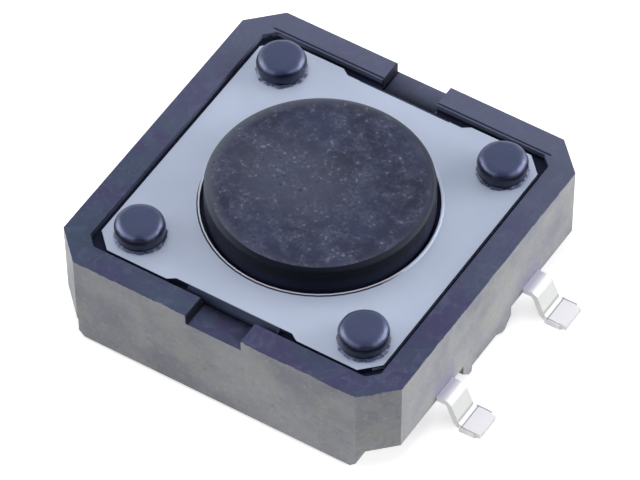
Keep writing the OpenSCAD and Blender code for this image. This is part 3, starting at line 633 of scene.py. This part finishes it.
def heads_tree(material):
    """Sets one staked head on each corner of a square. The punch stood slightly out of square, so
    the heads rise towards +X and -Y by the tilt, lean together by a few hundredths and gather
    towards the middle. Each is turned by its own angle, wavers a little and has a ragged flash at
    its foot, as hot-punched plastic does."""
    sizes = {"Pitch": "NodeSocketFloat", "Waver": "NodeSocketFloat", "Flash": "NodeSocketFloat",
             "Tilt": "NodeSocketFloat", "Lean": "NodeSocketVector", "Gather": "NodeSocketFloat",
             "Seed": "NodeSocketInt"}
    t, size = tree_with("staked_heads", sizes)
    corners = add(t, "GeometryNodeMeshGrid",
                  {"Size X": size["Pitch"], "Size Y": size["Pitch"], "Vertices X": 2,
                   "Vertices Y": 2})
    turn = add(t, "FunctionNodeRandomValue", {"Max": 6.283, "Seed": size["Seed"]},
               data_type="FLOAT")
    turn = add(t, "ShaderNodeCombineXYZ", {2: turn.outputs[1]})
    set_heads = add(t, "GeometryNodeInstanceOnPoints",
                    {"Points": corners.outputs["Mesh"], "Instance": size["Geometry"],
                     "Rotation": turn})
    whole = add(t, "GeometryNodeRealizeInstances", {0: set_heads})
    noise = add(t, "ShaderNodeTexNoise", {"Scale": 1.7, "Detail": 2.0})
    middle = add(t, "ShaderNodeVectorMath", {0: noise.outputs[1], 1: (0.5, 0.5, 0.5)},
                 operation="SUBTRACT")
    amount = add(t, "ShaderNodeVectorMath", {0: middle, "Scale": size["Waver"]},
                 operation="SCALE")
    at = add(t, "ShaderNodeSeparateXYZ", {0: add(t, "GeometryNodeInputPosition")})
    across = add(t, "ShaderNodeMath", {0: at.outputs[0], 1: at.outputs[1]}, operation="SUBTRACT")
    rise = add(t, "ShaderNodeMath", {0: across, 1: size["Tilt"]}, operation="MULTIPLY")
    rise = add(t, "ShaderNodeCombineXYZ", {2: rise})
    amount = add(t, "ShaderNodeVectorMath", {0: amount, 1: rise}, operation="ADD")
    # the seat stays flat: only what stands above the cover moves
    free = add(t, "ShaderNodeMapRange", {0: at.outputs[2], 1: COVER_TOP_Z + 0.05,
                                         2: COVER_TOP_Z + 0.3})
    amount = add(t, "ShaderNodeVectorMath", {0: amount, "Scale": free}, operation="SCALE")
    # the flash is the ragged outer rim of the foot
    rags = add(t, "ShaderNodeTexNoise", {"Scale": 6.0, "Detail": 3.0, "Roughness": 0.6})
    rags = add(t, "ShaderNodeVectorMath", {0: rags.outputs[1], 1: (0.5, 0.5, 0.5)},
               operation="SUBTRACT")
    rags = add(t, "ShaderNodeVectorMath", {0: rags, 1: (1.0, 1.0, 0.0)}, operation="MULTIPLY")
    low = add(t, "ShaderNodeMapRange", {0: at.outputs[2], 1: COVER_TOP_Z + FLASH_H,
                                        2: COVER_TOP_Z + FLASH_H / 2})
    above_seat = add(t, "ShaderNodeMath", {0: at.outputs[2], 1: COVER_TOP_Z},
                     operation="GREATER_THAN")
    drawn = add(t, "ShaderNodeCombineXYZ", {0: at.outputs[0], 1: at.outputs[1]})
    drawn = add(t, "ShaderNodeVectorMath", {0: drawn, "Scale": size["Gather"]},
                operation="SCALE")
    drawn = add(t, "ShaderNodeVectorMath", {0: drawn, 1: size["Lean"]}, operation="ADD")
    drawn = add(t, "ShaderNodeVectorMath", {0: drawn, "Scale": above_seat}, operation="SCALE")
    amount = add(t, "ShaderNodeVectorMath", {0: amount, 1: drawn}, operation="ADD")
    low = add(t, "ShaderNodeMath", {0: low, 1: above_seat}, operation="MULTIPLY")
    low = add(t, "ShaderNodeMath", {0: low, 1: size["Flash"]}, operation="MULTIPLY")
    rags = add(t, "ShaderNodeVectorMath", {0: rags, "Scale": low}, operation="SCALE")
    amount = add(t, "ShaderNodeVectorMath", {0: amount, 1: rags}, operation="ADD")
    moved = add(t, "GeometryNodeSetPosition", {"Geometry": whole, "Offset": amount})
    whole = add(t, "GeometryNodeRealizeInstances", {0: moved})
    finished = add(t, "GeometryNodeSetMaterial", {"Geometry": whole, "Material": material})
    add(t, "NodeGroupOutput", {0: finished})
    return t


def shell_tree():
    """A thin pressed shell: a cosine dome with a flat lip round it, of even thickness."""
    sizes = {"Radius": "NodeSocketFloat", "Lip": "NodeSocketFloat", "Rise": "NodeSocketFloat",
             "Thickness": "NodeSocketFloat", "Seat": "NodeSocketFloat",
             "Material": "NodeSocketMaterial"}
    t, size = tree_with("pressed_shell", sizes)
    rings, spokes = 40, 96
    grid = add(t, "GeometryNodeMeshGrid", {"Size X": 1.0, "Size Y": 1.0, "Vertices X": rings,
                                           "Vertices Y": spokes + 1})
    at = add(t, "ShaderNodeSeparateXYZ", {0: add(t, "GeometryNodeInputPosition")})
    reach = add(t, "ShaderNodeMath", {0: size["Radius"], 1: size["Lip"]}, operation="ADD")
    out = add(t, "ShaderNodeMath", {0: at.outputs[0], 1: 0.5}, operation="ADD")
    radius = add(t, "ShaderNodeMath", {0: out, 1: reach}, operation="MULTIPLY")
    angle = add(t, "ShaderNodeMath", {0: at.outputs[1], 1: math.tau}, operation="MULTIPLY")
    x = add(t, "ShaderNodeMath", {0: add(t, "ShaderNodeMath", {0: angle}, operation="COSINE"),
                                  1: radius}, operation="MULTIPLY")
    y = add(t, "ShaderNodeMath", {0: add(t, "ShaderNodeMath", {0: angle}, operation="SINE"),
                                  1: radius}, operation="MULTIPLY")
    share = add(t, "ShaderNodeMath", {0: radius, 1: size["Radius"]}, operation="DIVIDE")
    share = add(t, "ShaderNodeMath", {0: share, 1: 1.0}, operation="MINIMUM")
    phase = add(t, "ShaderNodeMath", {0: share, 1: math.pi}, operation="MULTIPLY")
    wave = add(t, "ShaderNodeMath", {0: add(t, "ShaderNodeMath", {0: phase}, operation="COSINE"),
                                     1: 0.5, 2: 0.5}, operation="MULTIPLY_ADD")
    z = add(t, "ShaderNodeMath", {0: wave, 1: size["Rise"], 2: size["Seat"]},
            operation="MULTIPLY_ADD")
    place = add(t, "ShaderNodeCombineXYZ", {0: x, 1: y, 2: z})
    sheet = add(t, "GeometryNodeSetPosition", {"Geometry": grid.outputs["Mesh"],
                                               "Position": place})
    sheet = add(t, "GeometryNodeMergeByDistance", {"Geometry": sheet, "Distance": 0.0005})
    up = add(t, "ShaderNodeCombineXYZ", {2: 1.0})
    raised = add(t, "GeometryNodeExtrudeMesh",
                 {"Mesh": sheet, "Offset": up, "Offset Scale": size["Thickness"],
                  "Individual": False}, mode="FACES")
    under = add(t, "GeometryNodeFlipFaces", {"Mesh": sheet})
    both = add(t, "GeometryNodeJoinGeometry", {0: raised.outputs["Mesh"]})
    t.links.new(under.outputs[0], both.inputs[0])
    closed = add(t, "GeometryNodeMergeByDistance", {"Geometry": both, "Distance": 0.0005})
    whole = add(t, "GeometryNodeRealizeInstances", {0: closed})
    finished = add(t, "GeometryNodeSetMaterial", {"Geometry": whole, "Material": size["Material"]})
    add(t, "NodeGroupOutput", {0: finished})
    return t


def build_housing(nylon, staked):
    """The moulding with eased edges, and its four post ends as the punch left them."""
    bm = solid_of("housing")
    posts = [Vector((x * POST_X, y * POST_X)) for x in (-1, 1) for y in (-1, 1)]
    heads = [f for f in bm.faces if f.calc_center_median().z > LEDGE_Z + 0.01
             and any((f.calc_center_median().xy - p).length < HEAD_R + 0.05 for p in posts)]
    bmesh.ops.delete(bm, geom=heads, context="FACES")
    bmesh.ops.holes_fill(bm, edges=[e for e in bm.edges if e.is_boundary])
    merge_flats(bm)
    past_posts, past_recess = POST_X + POST_R + 0.1, RECESS_HALF + 0.1
    ease_edges(bm, 0.035, 2, lambda p: max(abs(p.x), abs(p.y)) > past_recess)
    ease_edges(bm, 0.015, 1, lambda p: past_posts < max(abs(p.x), abs(p.y)) < past_recess
               and p.z > LEDGE_Z)
    shown("housing_moulding", mesh_of(bm, "housing"), [nylon], "base", "housing_plastic",
          "housing")

    top = COVER_TOP_Z + HEAD_H
    outline = [(0, LEDGE_Z), (POST_R, LEDGE_Z), (POST_R, COVER_TOP_Z + 0.005),
               (FLASH_R - 0.03, COVER_TOP_Z + 0.005), (FLASH_R, COVER_TOP_Z + 0.025),
               (HEAD_FOOT_R - 0.01, COVER_TOP_Z + FLASH_H),
               (HEAD_FOOT_R, COVER_TOP_Z + 2 * FLASH_H),
               (HEAD_R - 0.005, COVER_TOP_Z + (HEAD_H - HEAD_ROUND + FLASH_H) / 2)]
    outline += corner_arc(HEAD_R - HEAD_ROUND, top - HEAD_ROUND - 0.01, HEAD_ROUND, 0, 85, 12)
    outline += [((HEAD_R - HEAD_ROUND) * 0.6, top), (0, top)]
    one_head = mesh_of(turned(outline, 120), "head")
    heads = grown(heads_tree(staked), {"Pitch": 2 * POST_X, "Waver": 0.05, "Flash": 0.25,
                                       "Tilt": 0.005, "Lean": (0.05, 0.02, 0.0),
                                       "Gather": -0.0075, "Seed": 4}, one_head)
    shown("staked_heads", heads, [staked], "base", "housing_plastic", "housing")


def build_cover(steel):
    """The stamped cover with its rolled-over edges."""
    bm = solid_of("cover_plate")
    ease_edges(bm, 0.035, 2, lambda p: p.z > COVER_TOP_Z - 0.01 and p.xy.length > BUTTON_R + 1.0)
    ease_edges(bm, 0.01, 1, lambda p: p.xy.length < BUTTON_R + 0.5)
    shown("cover_sheet", mesh_of(bm, "cover"), [steel], "base", "cover_steel", "cover_plate")


def build_button(face, wall):
    """The cap as one turned body, with the cross ribs that carry its pusher. Its textured face
    ends where the edge starts to turn down into the polished wall."""
    outline = [(0, PUSHER_Z), (PUSHER_R, PUSHER_Z), (PUSHER_R, HOLLOW_TOP_Z),
               (HOLLOW_R, HOLLOW_TOP_Z), (HOLLOW_R, FLANGE_Z), (FLANGE_R - 0.03, FLANGE_Z),
               (FLANGE_R, FLANGE_Z + 0.03), (FLANGE_R, FLANGE_TOP_Z - 0.03),
               (FLANGE_R - 0.03, FLANGE_TOP_Z), (BUTTON_R, FLANGE_TOP_Z)]
    outline += [(BUTTON_R - BUTTON_ROUND * (1 - math.cos(math.radians(a))) * 1.6,
                 BUTTON_Z - BUTTON_ROUND * (1 - math.sin(math.radians(a))))
                for a in range(0, 91, 6)]
    outline += [(BUTTON_R * 0.6, BUTTON_Z), (0, BUTTON_Z)]
    bm = turned(outline, 160)
    face_edge_z = BUTTON_Z - 0.008
    for part in bm.faces:
        part.material_index = 0 if part.calc_center_median().z > face_edge_z else 1
    rib_h = HOLLOW_TOP_Z - FLANGE_Z
    for size in ((2 * HOLLOW_R, RIB_T, rib_h), (RIB_T, 2 * HOLLOW_R, rib_h)):
        place = Matrix.Translation((0, 0, FLANGE_Z + rib_h / 2)) @ Matrix.Diagonal((*size, 1))
        rib = bmesh.ops.create_cube(bm, size=1.0, matrix=place)["verts"]
        for part in {f for v in rib for f in v.link_faces}:
            part.material_index = 1
    shown("button_cap", mesh_of(bm, "button"), [face, wall], "button", "button_plastic", "button")


def build_contacts(plating):
    """The two formed strips. The sheared edges are rounded by the plating, from just inside the
    line where the strips leave the plastic."""
    for node in ("outer_contact_strip", "centre_contact_strip"):
        bm = solid_of(node)
        ease_edges(bm, 0.03, 2, lambda p: abs(p.x) > RELIEF_X - 0.05)
        shown(node + "_plated", mesh_of(bm, node), [plating], "base", "plated_contact", node)


def build_dome(steel, film):
    """The snap dome and its film, built domed at rest; the real ones flatten under the pusher."""
    tree = shell_tree()
    parts = [("snap_dome", "contact_dome", "dome_steel", steel, DOME_R, 0.0, DOME_T, PAD_Z),
             ("dome_cover_film", "dome_film", "film", film, DOME_R, FILM_R - DOME_R, FILM_T,
              FILM_SEAT_Z)]
    for name, node, slot, material, radius, lip, thickness, seat in parts:
        mesh = grown(tree, {"Radius": radius, "Lip": lip, "Rise": TRAVEL,
                            "Thickness": thickness, "Seat": seat, "Material": material})
        piece = shown(name, mesh, [material], "base", slot, node)
        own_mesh(piece)


def lay_floor():
    """A white table, which stays white to the lens and to shiny surfaces but keeps a shadow."""
    bm = bmesh.new()
    bmesh.ops.create_grid(bm, x_segments=1, y_segments=1, size=3.0)
    floor = bpy.data.objects.new("floor", mesh_of(bm, "floor"))
    bpy.context.scene.collection.objects.link(floor)
    material = bpy.data.materials.new("white_table_card")
    material.use_nodes = True
    t = material.node_tree
    t.nodes.clear()
    path = add(t, "ShaderNodeLightPath")
    seen = add(t, "ShaderNodeMath", {0: path.outputs["Is Camera Ray"],
                                     1: path.outputs["Is Glossy Ray"]}, operation="MAXIMUM")
    seen = add(t, "ShaderNodeMath", {0: seen, 1: path.outputs["Is Transmission Ray"]},
               operation="MAXIMUM")
    lift = add(t, "ShaderNodeMapRange", {0: seen, 3: 0.15, 4: 0.6})
    card = add(t, "ShaderNodeBsdfDiffuse", {"Color": (0.8, 0.8, 0.8, 1.0)})
    glow = add(t, "ShaderNodeEmission", {"Strength": lift})
    both = add(t, "ShaderNodeAddShader", {0: card, 1: glow})
    add(t, "ShaderNodeOutputMaterial", {0: both})
    floor.data.materials.append(material)


def light_the_set():
    """A white tent with a softbox low on the left and another low on the right, and a diffuser
    overhead that gives no highlight. What shines sees the tent's bright side panels, and its dark
    opening in front."""
    world = bpy.data.worlds.new("white_tent")
    bpy.context.scene.world = world
    world.use_nodes = True
    t = world.node_tree
    t.nodes.clear()
    path = add(t, "ShaderNodeLightPath")
    seen = add(t, "ShaderNodeMath", {0: path.outputs["Is Camera Ray"],
                                     1: path.outputs["Is Transmission Ray"]}, operation="MAXIMUM")
    way = add(t, "ShaderNodeTexCoord").outputs["Generated"]
    height = add(t, "ShaderNodeSeparateXYZ", {0: way}).outputs[2]
    level = add(t, "ShaderNodeVectorMath", {0: way, 1: (1.0, 1.0, 0.0)}, operation="MULTIPLY")
    level = add(t, "ShaderNodeVectorMath", {0: level}, operation="NORMALIZE")
    front = add(t, "ShaderNodeVectorMath", {0: level, 1: (0.54, -0.84, 0.0)},
                operation="DOT_PRODUCT").outputs["Value"]
    opening = add(t, "ShaderNodeMapRange", {0: front, 1: 0.8, 2: 0.95},
                  interpolation_type="SMOOTHSTEP")
    under_roof = add(t, "ShaderNodeMapRange", {0: height, 1: 0.85, 2: 0.7},
                     interpolation_type="SMOOTHSTEP")
    opening = add(t, "ShaderNodeMath", {0: opening, 1: under_roof}, operation="MULTIPLY")
    sides = add(t, "ShaderNodeMapRange", {0: front, 1: -0.8, 2: -0.55},
                interpolation_type="SMOOTHSTEP")
    panels = add(t, "ShaderNodeMapRange", {0: height, 1: 0.7, 2: 0.5},
                 interpolation_type="SMOOTHSTEP")
    sides = add(t, "ShaderNodeMath", {0: sides, 1: panels}, operation="MULTIPLY")
    tent = add(t, "ShaderNodeMath", {0: sides, 1: 3.2, 2: 1.0}, operation="MULTIPLY_ADD")
    shut = add(t, "ShaderNodeMath", {0: 1.0, 1: opening}, operation="SUBTRACT")
    tent = add(t, "ShaderNodeMath", {0: tent, 1: shut}, operation="MULTIPLY")
    tent = add(t, "ShaderNodeMix", {0: path.outputs["Is Glossy Ray"], 2: 0.25, 3: tent},
               data_type="FLOAT")
    strength = add(t, "ShaderNodeMix", {0: seen, 2: tent, 3: 1.0}, data_type="FLOAT")
    room = add(t, "ShaderNodeBackground", {"Color": (1.0, 1.0, 1.0, 1.0), "Strength": strength})
    add(t, "ShaderNodeOutputWorld", {0: room})
    for name, direction, distance, width, height, radiance in (
            ("left_softbox", (-0.88, -0.42, 0.21), 0.15, 0.11, 0.09, 4.9),
            ("right_softbox", (0.755, 0.62, 0.21), 0.15, 0.13, 0.10, 7.0),
            ("top_diffuser", (-0.1, 0.0, 0.99), 0.2, 0.12, 0.12, 4.0)):
        data = bpy.data.lights.new(name, "AREA")
        data.shape, data.size, data.size_y = "RECTANGLE", width, height
        data.energy = radiance * math.pi * width * height
        lamp = bpy.data.objects.new(name, data)
        lamp.visible_glossy = name != "top_diffuser"
        towards = Vector(direction).normalized()
        lamp.location = towards * distance
        lamp.rotation_mode = "QUATERNION"
        lamp.rotation_quaternion = towards.to_track_quat("Z", "Y")
        bpy.context.scene.collection.objects.link(lamp)


bpy.context.scene.view_settings.view_transform = "Standard"
aim_camera()
light_the_set()
lay_floor()
build_housing(moulded_nylon(), staked_nylon())
build_cover(satin_stainless())
build_button(spark_textured_acetal(), polished_acetal())
build_contacts(silver_plating())
build_dome(spring_steel(), polyimide_film())
